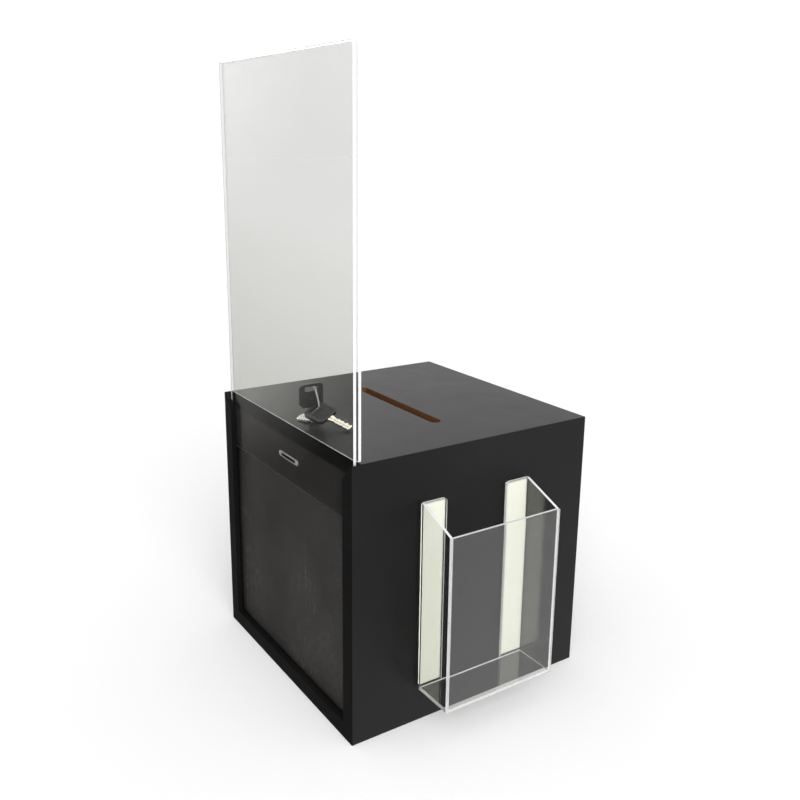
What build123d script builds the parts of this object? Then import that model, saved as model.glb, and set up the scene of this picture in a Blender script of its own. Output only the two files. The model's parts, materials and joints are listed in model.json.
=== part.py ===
"""A locking donation box: folded board carcass, slide-up door, acrylic sign header, brochure pocket.

Millimetres. The origin is the centre of the underside, +Z is up, the door faces -Y and the
brochure pocket faces +X. One STEP file is written for each node.
"""

from build123d import *
import os

# ---- carcass -------------------------------------------------------------------------------
SIDE = 305.0                # the box is a 12 inch cube
HALF = SIDE / 2
BOARD = 18.0                # thickness of the folded board
INNER = HALF - BOARD        # inner face of a side board, from the middle
EDGE_R = 0.8                # softened outer edges
TOP_SETBACK = 10.5          # the top board stops short of the front edges of the others
BACK_THICK = 12.0           # fixed panel opposite the door

# ---- groove that the door and the header's front leg share ---------------------------------
GROOVE_FRONT = -146.7
GROOVE_BACK = -137.3
GROOVE_REACH = 146.4        # how far from the middle it cuts into each side board
GROOVE_FLOOR = 12.0         # its lowest level, in the bottom board

# ---- sliding door --------------------------------------------------------------------------
DOOR_FACE = -140.7
SHEET = 3.0                 # thickness of the door and of every acrylic sheet
DOOR_HALF = 145.6
DOOR_FOOT = 12.4
STRIP_DEPTH = 1.0           # the head strip is let into the door's face
STRIP_TALL = 17.5
STRIKE_Z = 265.0            # level of the lock's cam and of the slot it enters
STRIKE_LONG = 45.0
STRIKE_TALL = 6.4
STRIKE_LIP = 0.8
SLEEVE_LONG = 35.6
SLEEVE_TALL = 5.2
SLOT_LONG = 33.6
SLOT_TALL = 3.4

# ---- sign header ---------------------------------------------------------------------------
HEADER_HALF = 146.0
HEADER_TOP = 687.0
HEADER_FRONT = -146.3
HEADER_GAP = 2.5            # room for the sign between the legs
HEADER_LEG_FOOT = 240.0     # the front leg hangs this far down the groove
HEADER_LIFT = 0.1           # between the door's top edge and the back leg's foot

# ---- coin slot in the top ------------------------------------------------------------------
COIN_LONG = 166.0
COIN_WIDE = 13.5
COIN_Y = -1.5

# ---- cam lock ------------------------------------------------------------------------------
LOCK_Y = -110.0
BEZEL_R = 16.0
BEZEL_TALL = 2.5
BARREL_R = 12.0
BARREL_HOLE_R = 12.2
BARREL_FOOT = 268.2
PLUG_R = 9.0
PLUG_FIT = 0.05             # running clearance round the plug
PLUG_TOP = 307.1
PLUG_FOOT = 266.2
NUT_ACROSS = 30.0
NUT_TALL = 5.0
WASHER_R = 16.5
WASHER_THICK = 1.2
DRIVE_WIDE = 8.0            # square drive under the plug
CAM_THICK = 2.0
CAM_WIDE = 16.0
CAM_REACH = 30.6
CAM_BOSS_R = 9.0
DRIVE_FOOT = STRIKE_Z - CAM_THICK / 2
SCREW_R = 2.5
SCREW_DEEP = 9.0
SCREW_HEAD_R = 5.0
SCREW_HEAD_TALL = 3.2
CAM_WASHER_R = 6.5
CAM_WASHER_THICK = 1.0
WAFER_COUNT = 5
WAFER_THICK = 0.6
WAFER_PITCH = 3.0
WAFER_FIRST_Z = 290.0
WAFER_WIDE = 9.6
WAFER_DEEP = 14.0

# ---- keys: both are alike, and each is drawn with +X from its bow's foot to its tip ---------
KEY_LONG = 31.0             # bow's foot to tip
KEY_WIDE = 8.0
KEY_THICK = 2.0
KEY_SHANK = 12.0            # how far the blade goes up inside the bow
KEY_CLEAR = 0.15            # keyway clearance on each side of the blade
KEY_CUTS = 4
BOW_LONG = 26.5
BOW_WIDE = 28.0
BOW_THICK = 4.0
BOW_R = 5.0
BOW_TAPER = 3.5             # the corners beside the blade are cut off by this much
RING_HOLE = (-23.4, -18.4)  # the ring's hole, from the bow's foot
RING_HOLE_WIDE = 17.0
GRIP = (-16.4, -3.0)        # sunk grip panel on each face
GRIP_WIDE = 21.0
GRIP_DEEP = 0.7
RIB_COUNT = 4
RIB_WIDE = 1.3
BOW_FOOT_Z = 319.0          # foot of the bow on the key that is in the lock
SPARE_FOOT_AT = Vector(32.0, -104.8, 314.0)
SPARE_ALONG = Vector(0.907, 0.354, -0.228)      # from the spare key's bow to its tip
SPARE_ACROSS = Vector(-0.264, 0.900, 0.347)
RING_WIRE_R = 1.25
RING_THROUGH = (            # upright bow's hole, spare bow's hole, and below the upright bow
    Vector(0, -106.4, 340.1),
    Vector(11.34, -106.49, 320.98),
    Vector(0, -102.2, 314.1),
)

# ---- brochure pocket on the +X side --------------------------------------------------------
POCKET_MID_Y = -2.2
POCKET_WIDE = 141.0
POCKET_FRONT = 207.0
POCKET_FOOT = 40.0
POCKET_BACK_TOP = 251.5
POCKET_FRONT_TOP = 232.5
POCKET_FLANGE = 31.0
POCKET_BEND_R = 3.4
CEMENT = 0.05               # glue line between the pocket's pieces
TAPE_THICK = 1.5
TAPE_WIDE = 29.0
TAPE_FOOT = 44.2
TAPE_TOP = 249.6
TAPE_INSET = 1.2            # tape edge from the pocket's outer corner


def block(x0, x1, y0, y1, z0, z1):
    """Box between two corners."""
    middle = Pos((x0 + x1) / 2, (y0 + y1) / 2, (z0 + z1) / 2)
    return middle * Box(x1 - x0, y1 - y0, z1 - z0)


def prism_y(outline, y0, y1):
    """Outline of (x, z) points, drawn out from y0 to y1."""
    face = Plane.XZ * make_face(Polyline(outline, close=True))
    return Pos(0, y1, 0) * extrude(face, amount=y1 - y0)


def drum(radius, z0, z1, x=0.0, y=LOCK_Y):
    """Upright cylinder between two levels, on the lock's axis unless told otherwise."""
    return Pos(x, y, (z0 + z1) / 2) * Cylinder(radius, z1 - z0)


def stadium_y(length, height, y0, y1):
    """Round-ended bar outline at the strike's place, drawn out from y0 to y1."""
    face = Plane.XZ * SlotOverall(length, height)
    return Pos(0, y1, STRIKE_Z) * extrude(face, amount=y1 - y0)


def soft_cube():
    """The whole box as one block, with its outer edges softened."""
    cube = block(-HALF, HALF, -HALF, HALF, 0, SIDE)
    return fillet(cube.edges(), EDGE_R)


def groove():
    """Room for the door and the header's front leg, open at the top."""
    return block(-GROOVE_REACH, GROOVE_REACH, GROOVE_FRONT, GROOVE_BACK, GROOVE_FLOOR, SIDE + 1)


# ---- carcass boards, mitred together at 45 degrees -----------------------------------------
def side_board(sign):
    corners = [(HALF, 0), (INNER, BOARD), (INNER, SIDE - BOARD), (HALF, SIDE)]
    outline = [(sign * x, z) for x, z in corners]
    return (soft_cube() & prism_y(outline, -HALF, HALF)) - groove()


def bottom_board():
    outline = [(-HALF, 0), (HALF, 0), (INNER, BOARD), (-INNER, BOARD)]
    return (soft_cube() & prism_y(outline, -HALF, HALF)) - groove()


def top_board():
    outline = [(-HALF, SIDE), (HALF, SIDE), (INNER, SIDE - BOARD), (-INNER, SIDE - BOARD)]
    front = -HALF + TOP_SETBACK
    board = soft_cube() & prism_y(outline, front, HALF)
    nose = board.edges().filter_by(Axis.X).group_by(Axis.Y)[0].sort_by(Axis.Z)[-1]
    board = chamfer(nose, EDGE_R / 2) - groove()
    coin = extrude(SlotOverall(COIN_LONG, COIN_WIDE), amount=BOARD + 2)
    board -= Pos(0, COIN_Y, SIDE - BOARD - 1) * coin
    return board - drum(BARREL_HOLE_R, SIDE - BOARD - 1, SIDE + 1)


def back_board():
    panel = block(-INNER, INNER, HALF - BACK_THICK, HALF, BOARD, SIDE - BOARD)
    return panel


# ---- door ----------------------------------------------------------------------------------
def door_sheet():
    back = DOOR_FACE + SHEET
    sheet = block(-DOOR_HALF, DOOR_HALF, DOOR_FACE, back, DOOR_FOOT, SIDE)
    return sheet - door_strip() - stadium_y(SLEEVE_LONG, SLEEVE_TALL, DOOR_FACE - 1, back + 1)


def door_strip():
    low = SIDE - STRIP_TALL
    return block(-DOOR_HALF, DOOR_HALF, DOOR_FACE, DOOR_FACE + STRIP_DEPTH, low, SIDE)


def strike_trim():
    back = DOOR_FACE + SHEET
    lip = stadium_y(STRIKE_LONG, STRIKE_TALL, DOOR_FACE - STRIKE_LIP, DOOR_FACE)
    rim = lip.faces().sort_by(Axis.Y)[0].edges()
    lip = fillet(rim, STRIKE_LIP * 0.6)
    sleeve = stadium_y(SLEEVE_LONG, SLEEVE_TALL, DOOR_FACE, back)
    return (lip + sleeve) - stadium_y(SLOT_LONG, SLOT_TALL, DOOR_FACE - 2, back + 1)


# ---- sign header: one sheet folded over at the top -----------------------------------------
def sign_header():
    outer_r = SHEET + HEADER_GAP / 2
    middle = HEADER_FRONT + outer_r
    back = HEADER_FRONT + 2 * outer_r
    bend_z = HEADER_TOP - outer_r
    front_leg = block(-HEADER_HALF, HEADER_HALF, HEADER_FRONT, HEADER_FRONT + SHEET,
                      HEADER_LEG_FOOT, bend_z)
    back_leg = block(-HEADER_HALF, HEADER_HALF, back - SHEET, back, SIDE + HEADER_LIFT, bend_z)
    ring = Circle(outer_r) - Circle(HEADER_GAP / 2)
    arch = extrude(Plane.YZ * ring, amount=HEADER_HALF, both=True)
    arch = Pos(0, middle, bend_z) * arch
    arch &= block(-HEADER_HALF, HEADER_HALF, HEADER_FRONT, back, bend_z, HEADER_TOP)
    return front_leg + back_leg + arch


# ---- cam lock ------------------------------------------------------------------------------
def lock_body():
    bezel = drum(BEZEL_R, SIDE, SIDE + BEZEL_TALL)
    rim = bezel.edges().group_by(Axis.Z)[-1]
    bezel = chamfer(rim, BEZEL_TALL * 0.6)
    barrel = drum(BARREL_R, BARREL_FOOT, SIDE)
    return bezel + barrel - drum(PLUG_R + PLUG_FIT, BARREL_FOOT - 1, SIDE + BEZEL_TALL + 1)


def lock_washer():
    top = SIDE - BOARD
    return drum(WASHER_R, top - WASHER_THICK, top) - drum(BARREL_R, top - 5, top + 1)


def lock_nut():
    top = SIDE - BOARD - WASHER_THICK
    hexagon = RegularPolygon(NUT_ACROSS / 2, 6, major_radius=False)
    nut = Pos(0, LOCK_Y, top - NUT_TALL) * extrude(hexagon, amount=NUT_TALL)
    return nut - drum(BARREL_R, top - NUT_TALL - 1, top + 1)


def keyway():
    half_x = KEY_THICK / 2 + KEY_CLEAR
    half_y = KEY_WIDE / 2 + KEY_CLEAR
    foot = BOW_FOOT_Z - KEY_LONG - 1
    return block(-half_x, half_x, LOCK_Y - half_y, LOCK_Y + half_y, foot, PLUG_TOP + 1)


def wafer_levels():
    return [WAFER_FIRST_Z + n * WAFER_PITCH for n in range(WAFER_COUNT)]


def wafer_blank(z, gap=0.0):
    half_x = WAFER_WIDE / 2 + gap
    half_y = WAFER_DEEP / 2 + gap
    return block(-half_x, half_x, LOCK_Y - half_y, LOCK_Y + half_y, z - gap, z + WAFER_THICK + gap)


def lock_plug():
    plug = drum(PLUG_R, PLUG_FOOT, PLUG_TOP)
    half = DRIVE_WIDE / 2
    plug += block(-half, half, LOCK_Y - half, LOCK_Y + half, DRIVE_FOOT, PLUG_FOOT)
    plug -= keyway()
    for z in wafer_levels():
        plug -= wafer_blank(z, 0.05)
    return plug - drum(SCREW_R, DRIVE_FOOT - 1, DRIVE_FOOT + SCREW_DEEP)


def lock_wafers():
    return Compound([wafer_blank(z) - keyway() for z in wafer_levels()])


def lock_cam():
    """Flat bar that points to -X while unlocked and to -Y, through the strike, when locked."""
    low = STRIKE_Z - CAM_THICK / 2
    high = STRIKE_Z + CAM_THICK / 2
    half = CAM_WIDE / 2
    bar = block(-CAM_REACH, 0, LOCK_Y - half, LOCK_Y + half, low, high)
    tip = bar.edges().filter_by(Axis.Z).group_by(Axis.X)[0]
    bar = fillet(tip, 1.5)
    half = DRIVE_WIDE / 2
    return bar + drum(CAM_BOSS_R, low, high) - block(-half, half, LOCK_Y - half, LOCK_Y + half,
                                                     low - 1, high + 1)


def cam_washer():
    top = DRIVE_FOOT
    return drum(CAM_WASHER_R, top - CAM_WASHER_THICK, top) - drum(SCREW_R, top - 3, top + 1)


def cam_screw():
    head_top = DRIVE_FOOT - CAM_WASHER_THICK
    head_foot = head_top - SCREW_HEAD_TALL
    screw = drum(SCREW_HEAD_R, head_foot, head_top) + drum(SCREW_R, head_top, DRIVE_FOOT + SCREW_DEEP)
    slot = block(-SCREW_HEAD_R, SCREW_HEAD_R, LOCK_Y - 0.6, LOCK_Y + 0.6, head_foot - 1, head_foot + 1)
    cross = Pos(0, LOCK_Y, 0) * Rot(0, 0, 90) * Pos(0, -LOCK_Y, 0) * slot
    return screw - slot - cross


# ---- keys ----------------------------------------------------------------------------------
def cut_edge(side, depth):
    """Points of one toothed edge of a blade, from its tip back to the bow."""
    half = side * KEY_WIDE / 2
    pitch = (KEY_LONG - 9.0) / KEY_CUTS
    points = [(KEY_LONG - 1.6, half * 0.45)]
    for n in range(KEY_CUTS):
        start = KEY_LONG - 3.4 - n * pitch
        floor = half - side * (depth + 0.4 * (n % 2))
        points += [(start, half), (start - pitch * 0.36, floor), (start - pitch * 0.62, floor)]
    return points + [(2.0, half), (-KEY_SHANK, half)]


def flat_blade():
    """Blade with deep cuts along +Y, shallow ones along -Y and a milled groove on each face."""
    outline = cut_edge(1, 1.5) + list(reversed(cut_edge(-1, 0.7)))
    blade = extrude(make_face(Polyline(outline, close=True)), amount=KEY_THICK / 2, both=True)
    for side in (-1, 1):
        z = side * KEY_THICK / 2
        blade -= block(-1, KEY_LONG - 4, -1.9, -0.3, z - 0.45, z + 0.45)
    return blade


def flat_bow():
    """Moulded bow: rounded at its far end, tapered beside the blade, with a ribbed grip."""
    half = BOW_WIDE / 2
    shoulder = half - BOW_TAPER
    corners = [(-BOW_LONG, -half), (-BOW_TAPER, -half), (0, -shoulder),
               (0, shoulder), (-BOW_TAPER, half), (-BOW_LONG, half)]
    bow = extrude(make_face(Polyline(corners, close=True)), amount=BOW_THICK / 2, both=True)
    bow = fillet(bow.edges().filter_by(Axis.Z).group_by(Axis.X)[0], BOW_R)
    bow = chamfer(bow.faces().filter_by(Axis.Z).edges(), 0.35)
    bow -= block(*RING_HOLE, -RING_HOLE_WIDE / 2, RING_HOLE_WIDE / 2, -BOW_THICK, BOW_THICK)
    face = BOW_THICK / 2
    rib_pitch = (GRIP[1] - GRIP[0]) / RIB_COUNT
    for low, high in ((-face, GRIP_DEEP - face), (face - GRIP_DEEP, face)):
        bow -= block(*GRIP, -GRIP_WIDE / 2, GRIP_WIDE / 2, low, high)
        for n in range(RIB_COUNT):
            middle = GRIP[0] + (n + 0.5) * rib_pitch
            bow += block(middle - RIB_WIDE / 2, middle + RIB_WIDE / 2,
                         2 - GRIP_WIDE / 2, GRIP_WIDE / 2 - 2, low, high)
    return bow - flat_blade()


def key_place():
    """Where the key in the lock is drawn: tip down, its deep cuts toward +Y."""
    return Plane(origin=(0, LOCK_Y, BOW_FOOT_Z), x_dir=(0, 0, -1), z_dir=(1, 0, 0))


def spare_place():
    return Plane(origin=SPARE_FOOT_AT, x_dir=SPARE_ALONG, z_dir=SPARE_ALONG.cross(SPARE_ACROSS))


def circle_through(a, b, c):
    """Plane centred on the circle through three points, and its radius."""
    ab = b - a
    ac = c - a
    normal = ab.cross(ac)
    area = normal.length
    to_middle = (normal.cross(ab) * ac.length ** 2 + ac.cross(normal) * ab.length ** 2) / (2 * area ** 2)
    return Plane(origin=a + to_middle, z_dir=normal), to_middle.length


def key_ring():
    plane, radius = circle_through(*RING_THROUGH)
    return plane * Torus(radius, RING_WIRE_R)


# ---- brochure pocket: four cemented pieces --------------------------------------------------
def pocket_front():
    half = POCKET_WIDE / 2
    plate = block(POCKET_FRONT - SHEET, POCKET_FRONT, POCKET_MID_Y - half, POCKET_MID_Y + half,
                  POCKET_FOOT, POCKET_FRONT_TOP)
    return fillet(plate.edges().filter_by(Axis.X).group_by(Axis.Z)[-1], 1.2)


def pocket_side(sign):
    """A side wall and its back flange, bent from one sheet, with a sloping top."""
    back = HALF + TAPE_THICK
    front = POCKET_FRONT - SHEET - CEMENT
    outer = POCKET_MID_Y + sign * POCKET_WIDE / 2
    inner = outer - sign * SHEET
    flange = outer - sign * POCKET_FLANGE
    low, high = sorted((outer, inner))
    wall = block(back, front, low, high, POCKET_FOOT, POCKET_BACK_TOP)
    low, high = sorted((outer, flange))
    wall += block(back, back + SHEET, low, high, POCKET_FOOT, POCKET_BACK_TOP)
    corner = wall.edges().filter_by(Axis.Z).group_by(Axis.X)[0]
    wall = fillet(corner.sort_by(Axis.Y)[0 if sign < 0 else -1], POCKET_BEND_R)
    slope = [(back + SHEET, POCKET_BACK_TOP), (front, POCKET_FRONT_TOP),
             (front + 1, POCKET_FRONT_TOP), (front + 1, POCKET_BACK_TOP + 1),
             (back + SHEET, POCKET_BACK_TOP + 1)]
    wall -= prism_y(slope, -HALF, HALF)
    tip = wall.edges().filter_by(Axis.X).group_by(Axis.Z)[-1].sort_by(Axis.Y)
    return fillet(tip[-1 if sign < 0 else 0], 4.0)


def pocket_floor():
    half = POCKET_WIDE / 2 - SHEET - CEMENT
    back = HALF + TAPE_THICK + SHEET + CEMENT
    return block(back, POCKET_FRONT - SHEET - CEMENT, POCKET_MID_Y - half, POCKET_MID_Y + half,
                 POCKET_FOOT, POCKET_FOOT + SHEET)


def tape(sign):
    outer = POCKET_MID_Y + sign * (POCKET_WIDE / 2 - TAPE_INSET)
    inner = outer - sign * TAPE_WIDE
    return block(HALF, HALF + TAPE_THICK, min(outer, inner), max(outer, inner), TAPE_FOOT, TAPE_TOP)


NODES = {
    "left_side_panel": side_board(-1),
    "right_side_panel": side_board(1),
    "bottom_panel": bottom_board(),
    "top_panel": top_board(),
    "fixed_panel": back_board(),
    "sliding_door": door_sheet(),
    "door_head_strip": door_strip(),
    "strike_trim": strike_trim(),
    "sign_header": sign_header(),
    "lock_body": lock_body(),
    "lock_washer": lock_washer(),
    "lock_nut": lock_nut(),
    "lock_plug": lock_plug(),
    "lock_wafers": lock_wafers(),
    "lock_cam": lock_cam(),
    "cam_washer": cam_washer(),
    "cam_screw": cam_screw(),
    "key_blade": key_place() * flat_blade(),
    "key_bow": key_place() * flat_bow(),
    "key_ring": key_ring(),
    "spare_key_blade": spare_place() * flat_blade(),
    "spare_key_bow": spare_place() * flat_bow(),
    "pocket_front": pocket_front(),
    "pocket_side_left": pocket_side(-1),
    "pocket_side_right": pocket_side(1),
    "pocket_floor": pocket_floor(),
    "tape_left": tape(-1),
    "tape_right": tape(1),
}

os.makedirs("parts", exist_ok=True)
for name, shape in NODES.items():
    export_step(shape, f"parts/{name}.step")
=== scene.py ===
"""Looks of the donation box: materials, acrylic, keys, studio light and camera, in metres."""

import json
import math

import bpy
from mathutils import Matrix, Vector, noise


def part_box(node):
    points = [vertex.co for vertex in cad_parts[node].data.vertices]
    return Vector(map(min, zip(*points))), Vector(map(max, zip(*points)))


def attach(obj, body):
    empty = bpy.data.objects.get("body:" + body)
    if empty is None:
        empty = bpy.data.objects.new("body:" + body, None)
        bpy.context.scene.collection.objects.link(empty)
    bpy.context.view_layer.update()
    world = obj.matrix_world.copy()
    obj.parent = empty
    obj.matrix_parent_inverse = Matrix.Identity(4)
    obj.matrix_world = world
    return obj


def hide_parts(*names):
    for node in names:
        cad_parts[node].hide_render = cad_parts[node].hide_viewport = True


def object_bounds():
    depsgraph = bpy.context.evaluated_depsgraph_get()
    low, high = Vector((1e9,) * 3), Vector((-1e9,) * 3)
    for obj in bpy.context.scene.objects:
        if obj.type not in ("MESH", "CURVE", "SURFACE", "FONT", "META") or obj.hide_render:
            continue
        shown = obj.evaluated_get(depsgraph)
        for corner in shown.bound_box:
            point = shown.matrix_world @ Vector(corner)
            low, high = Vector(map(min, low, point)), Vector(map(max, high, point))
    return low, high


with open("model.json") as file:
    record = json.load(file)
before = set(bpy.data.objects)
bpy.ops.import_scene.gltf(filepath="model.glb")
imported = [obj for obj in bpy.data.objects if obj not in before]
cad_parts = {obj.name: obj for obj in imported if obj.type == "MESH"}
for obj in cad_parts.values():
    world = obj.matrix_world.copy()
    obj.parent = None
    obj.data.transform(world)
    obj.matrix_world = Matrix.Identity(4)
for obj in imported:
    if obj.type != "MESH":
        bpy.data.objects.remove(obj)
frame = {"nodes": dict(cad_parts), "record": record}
CAD_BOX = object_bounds()

MM = 0.001

# ---- camera --------------------------------------------------------------------------------
CAMERA_AT = Vector((0.83665, -0.55247, 0.60138))
CAMERA_AZIMUTH = 56.44
CAMERA_ELEVATION = 14.55
CAMERA_ROLL = 0.66
LENS = 40.17
SHIFT_Y = -0.0328

# ---- light ---------------------------------------------------------------------------------
BACKDROP = (1.037, 1.09)    # what shows past the floor: at the horizon, and a little above it
BACKDROP_RISE = 0.1
FLOOR_PALE = 0.93
FLOOR_HALF = 30.0
FLOOR_DROP = 0.2 * MM       # below the box's underside
FILL = 0.35                 # even light from all round
OVERHEAD_FROM = (0.3, -0.25, 1.0)
OVERHEAD_STRENGTH = 1.18
SIDE_FROM = (1.0, -0.45, 0.38)
SIDE_STRENGTH = 3.6
# What surfaces mirror, by how far the level part of the mirrored direction points towards +Y.
ROOM_NEAR = (-0.50, -0.40, 0.02, 0.24)      # a dim wall on the door's side, above the floor
ROOM_NEAR_RISE = (-0.36, -0.27, 0.0, 1.0)
ROOM_FAR = (-0.38, 0.55, 0.02, 0.95)
SOFTBOX_EDGE = (0.37, 0.47, 2.6, 0.0)       # a bright panel at the -X side
SOFTBOX_START = (-0.1, 0.05, 0.0, 1.0)
SOFTBOX_RISE = (-0.1, 0.05, 0.0, 1.0)

# ---- key ring: the circle through these three points, as in the CAD -------------------------
RING_THROUGH = (
    Vector((0, -106.4, 340.1)) * MM,
    Vector((11.34, -106.49, 320.98)) * MM,
    Vector((0, -102.2, 314.1)) * MM,
)
RING_STRAND_R = 0.68 * MM
RING_TWIST_R = 0.55 * MM
RING_TWISTS = 15
RING_STEPS = 280
RING_SIDES = 8

# ---- foam tape: how far its face stays inside the flat strip of the CAD ----------------------
TAPE_ROWS = 120
TAPE_COLUMNS = 14
TAPE_SINK = 0.22 * MM
TAPE_WAVE = 0.16 * MM
TAPE_FINE = 0.06 * MM
TAPE_EDGE = 0.25 * MM
TAPE_BACK = 0.02 * MM       # between its back and the box

# ---- clear sheet -----------------------------------------------------------------------------
LAMP_THROUGH_SHEET = (0.96, 0.965, 0.96, 1)     # what is left of a lamp's light behind a sheet
TINT_DARKEST_TO = 70 * MM         # the header's tint is darkest up to this far above its foot
TINT_CLEAREST_FROM = 280 * MM          # and clearest from here up
NEAR = 0.1 * MM             # how close a face must be to an edge to count as that edge


# ---- node helpers --------------------------------------------------------------------------
class Shader:
    """A material with a Principled shader and short calls that add nodes to it."""

    def __init__(self, name):
        self.material = bpy.data.materials.new(name)
        self.material.use_nodes = True
        self.tree = self.material.node_tree
        self.tree.nodes.clear()
        self.output = self.add("ShaderNodeOutputMaterial")
        self.bsdf = self.add("ShaderNodeBsdfPrincipled")
        self.link(self.bsdf.outputs["BSDF"], self.output.inputs["Surface"])
        self.place = self.add("ShaderNodeTexCoord")

    def add(self, kind):
        return self.tree.nodes.new(kind)

    def link(self, source, target):
        self.tree.links.new(source, target)

    def set(self, **values):
        """Constants on the shader's own sockets."""
        for key, value in values.items():
            self.bsdf.inputs[key.replace("_", " ")].default_value = value

    def put(self, socket, value):
        """Link an output, or set a number, on any input socket."""
        if isinstance(value, bpy.types.NodeSocket):
            self.link(value, socket)
        else:
            socket.default_value = value

    def scaled(self, scale):
        """Object coordinates, stretched by three factors."""
        mapping = self.add("ShaderNodeMapping")
        mapping.inputs["Scale"].default_value = scale
        self.link(self.place.outputs["Object"], mapping.inputs["Vector"])
        return mapping.outputs["Vector"]

    def noise(self, scale, detail=3.0, rough=0.5, stretch=(1, 1, 1)):
        node = self.add("ShaderNodeTexNoise")
        node.inputs["Scale"].default_value = scale
        node.inputs["Detail"].default_value = detail
        node.inputs["Roughness"].default_value = rough
        self.link(self.scaled(stretch), node.inputs["Vector"])
        return node.outputs["Fac"]

    def band(self, value, low, high, to_low=0.0, to_high=1.0):
        """Maps value from low..high to to_low..to_high and holds it there."""
        node = self.add("ShaderNodeMapRange")
        self.put(node.inputs["Value"], value)
        node.inputs["From Min"].default_value = low
        node.inputs["From Max"].default_value = high
        node.inputs["To Min"].default_value = to_low
        node.inputs["To Max"].default_value = to_high
        return node.outputs["Result"]

    def math(self, kind, a, b=0.0):
        node = self.add("ShaderNodeMath")
        node.operation = kind
        self.put(node.inputs[0], a)
        self.put(node.inputs[1], b)
        return node.outputs["Value"]

    def mix(self, factor, a, b):
        """Colour mix."""
        node = self.add("ShaderNodeMix")
        node.data_type = "RGBA"
        self.put(node.inputs["Factor"], factor)
        self.put(node.inputs["A"], a)
        self.put(node.inputs["B"], b)
        return node.outputs["Result"]

    def split(self, output):
        node = self.add("ShaderNodeSeparateXYZ")
        self.link(self.place.outputs[output], node.inputs["Vector"])
        return node.outputs

    def bump(self, height, distance, strength=1.0):
        node = self.add("ShaderNodeBump")
        node.inputs["Strength"].default_value = strength
        node.inputs["Distance"].default_value = distance
        self.link(height, node.inputs["Height"])
        self.link(node.outputs["Normal"], self.bsdf.inputs["Normal"])

    def colour(self, value):
        self.put(self.bsdf.inputs["Base Color"], value)

    def rough(self, value):
        self.put(self.bsdf.inputs["Roughness"], value)


def grey(value, warm=0.0):
    """Linear grey, a little warmer or cooler."""
    return (value * (1 + warm), value, value * (1 - warm), 1.0)


def board_shader(name, satin=0.39, shine=0.2):
    """Satin black laminate: faint cloudiness, a fine pebble, a few pale specks of dust."""
    s = Shader(name)
    s.set(Specular_IOR_Level=shine)
    cloud = s.noise(9.0, 4.0)
    speck = s.band(s.noise(1400.0, 1.0), 0.72, 0.80)
    base = s.mix(s.band(cloud, 0.3, 0.7), grey(0.0042, 0.02), grey(0.0062, 0.02))
    s.colour(s.mix(s.math("MULTIPLY", speck, 0.18), base, grey(0.12, 0.05)))
    s.rough(s.band(s.noise(30.0, 5.0), 0.3, 0.7, satin, satin + 0.04))
    s.bump(s.noise(2600.0, 2.0), 0.00003)
    return s


def board_material():
    return board_shader("black_laminate").material


def top_material():
    """Laminate with a coin slot whose cut walls show the raw brown board."""
    s = board_shader("black_laminate_top", 0.32, 0.17)
    laminate = s.bsdf.inputs["Base Color"].links[0].from_socket
    rough_laminate = s.bsdf.inputs["Roughness"].links[0].from_socket
    low, high = opening("coin_slot")
    at = s.split("Object")
    normal = s.split("Normal")
    margin = 9 * MM
    across = s.math("ABSOLUTE", s.math("SUBTRACT", at["Y"], (low.y + high.y) / 2))
    along = s.math("ABSOLUTE", s.math("SUBTRACT", at["X"], (low.x + high.x) / 2))
    inside = s.math("MULTIPLY",
                    s.math("LESS_THAN", across, (high.y - low.y) / 2 + 1.5 * MM),
                    s.math("LESS_THAN", along, (high.x - low.x) / 2 + margin))
    upright = s.math("LESS_THAN", s.math("ABSOLUTE", normal["Z"]), 0.5)
    wall = s.math("MULTIPLY", inside, upright)
    fibre = s.noise(900.0, 4.0, 0.65, (1, 1, 1.6))
    brown = s.mix(s.band(fibre, 0.3, 0.7), (0.075, 0.028, 0.011, 1), (0.20, 0.082, 0.032, 1))
    s.colour(s.mix(wall, laminate, brown))
    roughness = s.add("ShaderNodeMix")
    s.put(roughness.inputs["Factor"], wall)
    s.put(roughness.inputs["A"], rough_laminate)
    roughness.inputs["B"].default_value = 0.85
    s.rough(roughness.outputs["Result"])
    return s.material


def opening(name):
    for item in frame["record"]["physics"]["openings"]:
        if item["name"] == name:
            low, high = item["box_m"]
            return Vector(low), Vector(high)
    raise KeyError(name)


def door_material():
    """Thin gloss black sheet, dusty and lightly scratched."""
    s = Shader("door_gloss_black")
    s.set(Specular_IOR_Level=0.5)
    dust = s.band(s.noise(700.0, 3.0, 0.7), 0.55, 0.74)
    haze = s.band(s.noise(6.0, 5.0, 0.6), 0.3, 0.75)
    dusty = s.math("MULTIPLY", dust, s.band(haze, 0.0, 1.0, 0.12, 0.42))
    veil = s.mix(haze, grey(0.021, 0.06), grey(0.046, 0.08))
    s.colour(s.mix(dusty, veil, grey(0.17, 0.08)))
    streak = s.noise(60.0, 6.0, 0.7, (9.0, 1.0, 0.35))
    s.rough(s.band(s.math("ADD", streak, s.math("MULTIPLY", haze, 0.5)), 0.4, 1.0, 0.08, 0.30))
    s.bump(s.noise(1100.0, 3.0, 0.6, (3.0, 1.0, 0.4)), 0.000012)
    return s.material


def strip_material():
    """Satin black strip with faint random mottling, paler towards its -X end and darker towards its +X end:
    painted reflection and shade.
    """
    s = Shader("head_strip_satin")
    s.set(Specular_IOR_Level=0.5)
    low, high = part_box("door_head_strip")
    along = s.band(s.split("Object")["X"], low.x, high.x)
    # painted reflection and shade along the strip: pale at the -X end, dark at the +X end
    base = s.mix(along, grey(0.010, 0.03), grey(0.0015, 0.03))
    s.colour(s.mix(s.band(s.noise(25.0, 3.0), 0.3, 0.7, 0.0, 0.25), base, grey(0.016, 0.03)))
    s.rough(s.band(s.noise(120.0, 4.0), 0.3, 0.7, 0.14, 0.22))
    s.bump(s.noise(900.0, 2.0), 0.000004)
    return s.material


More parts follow.
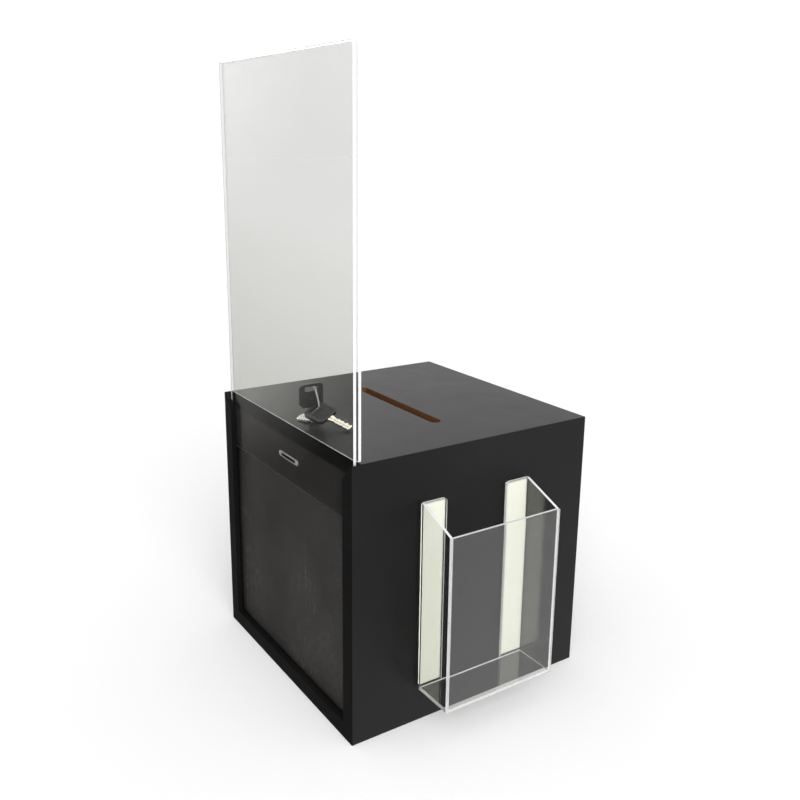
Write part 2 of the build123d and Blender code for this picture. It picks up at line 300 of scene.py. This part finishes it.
def acrylic_material(name, low_tint, high_tint, low_z, high_z):
    """Clear polished sheet, darker and a little warmer in tint towards its foot. Lamps reach what is behind
    it.
    """
    s = Shader(name)
    s.set(IOR=1.49, Transmission_Weight=1.0)
    s.colour(s.mix(s.band(s.split("Object")["Z"], low_z, high_z), low_tint, high_tint))
    s.rough(s.band(s.noise(14.0, 5.0, 0.6), 0.35, 0.75, 0.0, 0.03))
    path = s.add("ShaderNodeLightPath")
    clear = s.add("ShaderNodeBsdfTransparent")
    clear.inputs["Color"].default_value = LAMP_THROUGH_SHEET
    mix = mix_shaders(s.tree, path.outputs["Is Shadow Ray"], s.bsdf.outputs["BSDF"], clear.outputs["BSDF"])
    s.link(mix, s.output.inputs["Surface"])
    return s.material


def cut_edge_material(name, dark, pale):
    """Sawn and scraped edge of a clear sheet: pale, a little streaked across its thickness. The paleness is
    partly the edge's own frost and partly a painted glow of the light that the edge catches.
    """
    s = Shader(name)
    s.set(IOR=1.49, Transmission_Weight=0.25)
    streak = s.noise(420.0, 4.0, 0.6)
    s.colour(s.mix(s.band(streak, 0.3, 0.7), dark, pale))
    s.rough(s.band(streak, 0.3, 0.7, 0.25, 0.45))
    return s.material


def paint_faces(node, material, is_picked):
    """Gives the node one more material, on the faces that is_picked picks."""
    mesh = frame["nodes"][node].data
    mesh.materials.append(material)
    for face in mesh.polygons:
        if is_picked(face.normal, face.center):
            face.material_index = len(mesh.materials) - 1


def metal_material(name, colour, low, high, metallic=1.0, grain=900.0, depth=0.000008):
    s = Shader(name)
    s.set(Metallic=metallic)
    mottled = s.noise(grain * 0.3, 4.0, 0.6)
    darker = tuple(c * 0.82 for c in colour[:3]) + (1.0,)
    s.colour(s.mix(s.band(mottled, 0.3, 0.7), darker, colour))
    s.rough(s.band(s.noise(grain, 4.0, 0.6), 0.3, 0.7, low, high))
    s.bump(s.noise(grain, 3.0, 0.6), depth)
    return s.material


def key_plastic_material():
    s = Shader("key_plastic")
    s.set(Specular_IOR_Level=0.5)
    s.colour(s.mix(s.band(s.noise(160.0, 3.0), 0.3, 0.7), grey(0.012), grey(0.020)))
    s.rough(s.band(s.noise(400.0, 3.0), 0.3, 0.7, 0.28, 0.42))
    s.bump(s.noise(3800.0, 2.0), 0.00003)
    return s.material


def tape_material():
    """Cream foam tape with faint ripples."""
    s = Shader("foam_tape")
    s.set(Specular_IOR_Level=0.4)
    ripple = s.noise(55.0, 3.0, 0.5, (1, 1.6, 0.5))
    s.colour(s.mix(s.band(ripple, 0.3, 0.7), (0.90, 0.90, 0.78, 1), (0.94, 0.94, 0.83, 1)))
    s.rough(s.band(s.noise(260.0, 3.0), 0.3, 0.7, 0.45, 0.62))
    s.bump(ripple, 0.0004)
    return s.material


def paint(material, *nodes):
    for name in nodes:
        data = frame["nodes"][name].data
        data.materials.clear()
        data.materials.append(material)


def dress_nodes():
    paint(board_material(), "left_side_panel", "right_side_panel", "bottom_panel", "fixed_panel")
    paint(top_material(), "top_panel")
    paint(door_material(), "sliding_door")
    paint(strip_material(), "door_head_strip")
    # chrome trim made mostly diffuse pale grey: a painted sheen standing for the bright reflections of
    # chrome
    paint(metal_material("trim_chrome", (0.93, 0.93, 0.93, 1), 0.20, 0.34, 0.35), "strike_trim")
    door_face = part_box("sliding_door")[0].y
    # sleeve walls behind the door face: a darker copy of the chrome, painted shade inside the slot
    paint_faces("strike_trim", metal_material("trim_sleeve_painted_shade", (0.30, 0.30, 0.30, 1), 0.3, 0.5),
                lambda normal, at: at.y > door_face)
    paint(metal_material("lock_nickel", (0.80, 0.79, 0.76, 1), 0.12, 0.26), "lock_body", "lock_plug")
    paint(metal_material("zinc_steel", (0.55, 0.56, 0.58, 1), 0.22, 0.42),
          "lock_washer", "lock_nut", "lock_cam", "cam_washer", "cam_screw")
    paint(metal_material("wafer_brass", (0.68, 0.50, 0.24, 1), 0.2, 0.4), "lock_wafers")
    paint(metal_material("key_steel", (0.93, 0.90, 0.76, 1), 0.20, 0.38), "key_blade", "spare_key_blade")
    paint(key_plastic_material(), "key_bow", "spare_key_bow")
    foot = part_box("sign_header")[0].z
    header = acrylic_material("clear_acrylic_header", (0.90, 0.90, 0.875, 1), (0.995, 0.995, 0.985, 1),
                              foot + TINT_DARKEST_TO, foot + TINT_CLEAREST_FROM)
    paint(header, "sign_header")
    low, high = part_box("pocket_front")
    pocket = acrylic_material("clear_acrylic_pocket", (0.985, 0.985, 0.975, 1), (0.995, 0.995, 0.99, 1),
                              low.z, high.z)
    paint(pocket, "pocket_front", "pocket_side_left", "pocket_side_right", "pocket_floor")
    door_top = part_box("sliding_door")[1].z
    # pale edges: partly the frost of a cut edge, partly a painted glow of the light the edges catch
    edge = cut_edge_material("acrylic_cut_edge", (0.80, 0.82, 0.81, 1), (0.94, 0.95, 0.94, 1))
    # the front leg's foot, low in the recess: a dark copy of the cut edge, painted shade
    painted_shade_edge = cut_edge_material("acrylic_shaded_edge", grey(0.10), grey(0.16))
    # side edges of the header, and the back leg's foot on the door top, whose pale face is a painted
    # highlight line along the box's top front edge
    paint_faces("sign_header", edge, lambda normal, at: abs(normal.x) > 0.9 or (
        normal.z < -0.9 and abs(at.z - door_top) < 1 * MM))
    paint_faces("sign_header", painted_shade_edge, lambda normal, at: (
        normal.z < -0.9 and at.z < door_top - 1 * MM))
    paint_faces("pocket_front", edge, lambda normal, at: abs(normal.x) < 0.5)
    paint_faces("pocket_floor", edge, lambda normal, at: abs(normal.z) < 0.5)
    for name in ("pocket_side_left", "pocket_side_right"):
        low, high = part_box(name)
        free = min(low.y, high.y, key=abs)
        paint_faces(name, edge, lambda normal, at: (
            abs(normal.z) > 0.3 or at.x > high.x - NEAR or abs(at.y - free) < NEAR))


# ---- pieces that stand for CAD nodes ---------------------------------------------------------
def add_piece(name, points, faces, material, body, node):
    mesh = bpy.data.meshes.new(name)
    mesh.from_pydata(points, [], faces)
    for face in mesh.polygons:
        face.use_smooth = True
    mesh.materials.append(material)
    piece = bpy.data.objects.new(name, mesh)
    bpy.context.scene.collection.objects.link(piece)
    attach(piece, body)
    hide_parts(node)


def make_ring():
    """Key ring of two wires twisted together."""
    a, b, c = RING_THROUGH
    ab = b - a
    ac = c - a
    normal = ab.cross(ac)
    to_middle = normal.cross(ab) * ac.length_squared + ac.cross(normal) * ab.length_squared
    to_middle /= 2 * normal.length_squared
    middle = a + to_middle
    radius = to_middle.length
    normal.normalize()
    out_x = -to_middle.normalized()
    out_y = normal.cross(out_x)
    points = []
    faces = []
    for strand in range(2):
        first = len(points)
        for n in range(RING_STEPS):
            turn = 2 * math.pi * n / RING_STEPS
            out = out_x * math.cos(turn) + out_y * math.sin(turn)
            twist = RING_TWISTS * turn + math.pi * strand
            core = middle + out * (radius + RING_TWIST_R * math.cos(twist)) \
                + normal * (RING_TWIST_R * math.sin(twist))
            for k in range(RING_SIDES):
                angle = 2 * math.pi * k / RING_SIDES
                points.append(core + (out * math.cos(angle) + normal * math.sin(angle)) * RING_STRAND_R)
        for n in range(RING_STEPS):
            for k in range(RING_SIDES):
                here = first + n * RING_SIDES
                there = first + (n + 1) % RING_STEPS * RING_SIDES
                after = (k + 1) % RING_SIDES
                faces.append((here + k, here + after, there + after, there + k))
    material = metal_material("ring_wire", (0.95, 0.94, 0.91, 1), 0.18, 0.32, 0.5)
    add_piece("key_ring_twisted", points, faces, material, "spare_key", "key_ring")


def make_tape(node, material):
    """Foam tape with a rippled face and slightly uneven edges."""
    low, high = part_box(node)
    points = []
    for n in range(TAPE_ROWS + 1):
        for k in range(TAPE_COLUMNS + 1):
            y = low.y + (high.y - low.y) * k / TAPE_COLUMNS
            z = low.z + (high.z - low.z) * n / TAPE_ROWS
            wave = noise.noise(Vector((y * 60, z * 55, low.y * 90)))
            fine = noise.noise(Vector((y * 240, z * 200, 4.0)))
            inward = TAPE_SINK + TAPE_WAVE * wave + TAPE_FINE * fine
            if k in (0, TAPE_COLUMNS):
                inward += TAPE_EDGE
                uneven = TAPE_EDGE * (1 + noise.noise(Vector((z * 160, k, low.y * 50))))
                y += uneven if k == 0 else -uneven
            points.append(Vector((high.x - inward, y, z)))
    front = len(points)
    points += [Vector((low.x + TAPE_BACK, p.y, p.z)) for p in points]
    across = TAPE_COLUMNS + 1
    faces = []
    for n in range(TAPE_ROWS):
        for k in range(TAPE_COLUMNS):
            here = n * across + k
            faces.append((here, here + 1, here + across + 1, here + across))
            faces.append((front + here, front + here + across, front + here + across + 1, front + here + 1))
        left = n * across
        right = left + TAPE_COLUMNS
        faces.append((left, left + across, front + left + across, front + left))
        faces.append((right, front + right, front + right + across, right + across))
    for k in range(TAPE_COLUMNS):
        top = TAPE_ROWS * across + k
        faces.append((k, front + k, front + k + 1, k + 1))
        faces.append((top, top + 1, front + top + 1, front + top))
    add_piece(node + "_rippled", points, faces, material, "box", node)


# ---- studio --------------------------------------------------------------------------------
def number(tree, kind, a, b=0.0):
    """A math node on two outputs or constants."""
    node = tree.nodes.new("ShaderNodeMath")
    node.operation = kind
    for socket, value in zip(node.inputs, (a, b)):
        if isinstance(value, bpy.types.NodeSocket):
            tree.links.new(value, socket)
        else:
            socket.default_value = value
    return node.outputs["Value"]


def mirrored(tree, path):
    """1 for light that a surface mirrors on its way to the eye, 0 for other light."""
    return number(tree, "GREATER_THAN", path.outputs["Glossy Depth"], 0.5)


def mix_shaders(tree, factor, when_off, when_on):
    mix = tree.nodes.new("ShaderNodeMixShader")
    tree.links.new(factor, mix.inputs["Fac"])
    tree.links.new(when_off, mix.inputs[1])
    tree.links.new(when_on, mix.inputs[2])
    return mix.outputs["Shader"]


def make_floor():
    """A wide pale floor, level with the box's underside. Glossy surfaces mirror the room instead."""
    half = FLOOR_HALF
    level = CAD_BOX[0][2] - FLOOR_DROP
    mesh = bpy.data.meshes.new("studio_floor")
    corners = [(-half, -half, level), (half, -half, level), (half, half, level), (-half, half, level)]
    mesh.from_pydata(corners, [], [(0, 1, 2, 3)])
    floor = bpy.data.objects.new("studio_floor", mesh)
    bpy.context.scene.collection.objects.link(floor)
    s = Shader("floor_pale")
    s.set(Specular_IOR_Level=0.0, Roughness=0.9)
    s.colour(s.mix(s.noise(2.0, 2.0), grey(FLOOR_PALE), grey(FLOOR_PALE + 0.01)))
    clear = s.add("ShaderNodeBsdfTransparent")
    path = s.add("ShaderNodeLightPath")
    mix = mix_shaders(s.tree, mirrored(s.tree, path), s.bsdf.outputs["BSDF"], clear.outputs["BSDF"])
    s.link(mix, s.output.inputs["Surface"])
    mesh.materials.append(s.material)


def soft_sun(name, towards, spread, strength):
    """Even light from one side, as from a large softbox, that no surface mirrors."""
    data = bpy.data.lights.new(name, "SUN")
    data.energy = strength
    data.angle = math.radians(spread)
    light = bpy.data.objects.new(name, data)
    bpy.context.scene.collection.objects.link(light)
    light.rotation_euler = Vector(towards).to_track_quat("Z", "Y").to_euler()
    light.visible_glossy = False
    light.visible_transmission = False


def make_world():
    """White backdrop, even fill, and for mirrored light a room that is bright behind the box."""
    world = bpy.data.worlds.new("studio_world")
    bpy.context.scene.world = world
    world.use_nodes = True
    tree = world.node_tree
    tree.nodes.clear()
    output = tree.nodes.new("ShaderNodeOutputWorld")

    def background(strength):
        node = tree.nodes.new("ShaderNodeBackground")
        node.inputs["Color"].default_value = (1, 1, 1, 1)
        if isinstance(strength, bpy.types.NodeSocket):
            tree.links.new(strength, node.inputs["Strength"])
        else:
            node.inputs["Strength"].default_value = strength
        return node.outputs["Background"]

    path = tree.nodes.new("ShaderNodeLightPath")
    bounced = number(tree, "GREATER_THAN", path.outputs["Diffuse Depth"], 0.5)
    turned = number(tree, "MAXIMUM", mirrored(tree, path), bounced)
    straight = number(tree, "SUBTRACT", 1.0, turned)
    way = tree.nodes.new("ShaderNodeTexCoord")
    parts = tree.nodes.new("ShaderNodeSeparateXYZ")
    tree.links.new(way.outputs["Generated"], parts.inputs["Vector"])
    x, y, height = parts.outputs
    level = number(tree, "ADD", number(tree, "MULTIPLY", x, x), number(tree, "MULTIPLY", y, y))
    level = number(tree, "MAXIMUM", number(tree, "SQRT", level), 0.01)
    towards = number(tree, "DIVIDE", y, level)

    def fade(value, limits):
        node = tree.nodes.new("ShaderNodeMapRange")
        tree.links.new(value, node.inputs["Value"])
        for name, limit in zip(("From Min", "From Max", "To Min", "To Max"), limits):
            node.inputs[name].default_value = limit
        return node.outputs["Result"]

    near = number(tree, "MULTIPLY", fade(towards, ROOM_NEAR), fade(height, ROOM_NEAR_RISE))
    walls = number(tree, "MAXIMUM", near, fade(towards, ROOM_FAR))
    panel = number(tree, "MULTIPLY", fade(towards, SOFTBOX_EDGE), fade(towards, SOFTBOX_START))
    panel = number(tree, "MULTIPLY", panel, fade(height, SOFTBOX_RISE))
    panel = number(tree, "MULTIPLY", panel, number(tree, "LESS_THAN", x, 0.0))
    room = background(number(tree, "ADD", walls, panel))
    unseen = mix_shaders(tree, path.outputs["Is Diffuse Ray"], room, background(FILL))
    backdrop = background(fade(height, (0.0, BACKDROP_RISE, *BACKDROP)))
    surface = mix_shaders(tree, straight, unseen, backdrop)
    tree.links.new(surface, output.inputs["Surface"])


def make_lights():
    soft_sun("overhead_softbox", OVERHEAD_FROM, 80, OVERHEAD_STRENGTH)
    soft_sun("side_softbox", SIDE_FROM, 60, SIDE_STRENGTH)


def make_camera():
    azimuth = math.radians(CAMERA_AZIMUTH)
    elevation = math.radians(CAMERA_ELEVATION)
    roll = math.radians(CAMERA_ROLL)
    back = Vector((math.sin(azimuth) * math.cos(elevation),
                   -math.cos(azimuth) * math.cos(elevation), math.sin(elevation)))
    right = Vector((math.cos(azimuth), math.sin(azimuth), 0))
    up = back.cross(right)
    tilted = right * math.cos(roll) + up * math.sin(roll)
    upright = up * math.cos(roll) - right * math.sin(roll)
    turn = Matrix((tilted, upright, back)).transposed()
    data = bpy.data.cameras.new("camera")
    data.lens = LENS
    data.shift_y = SHIFT_Y
    camera = bpy.data.objects.new("camera", data)
    camera.matrix_world = Matrix.Translation(CAMERA_AT) @ turn.to_4x4()
    bpy.context.scene.collection.objects.link(camera)
    bpy.context.scene.camera = camera


dress_nodes()
make_ring()
foam = tape_material()
for tape_node in ("tape_left", "tape_right"):
    make_tape(tape_node, foam)
make_floor()
make_world()
make_lights()
make_camera()
bpy.context.scene.view_settings.view_transform = "Standard"
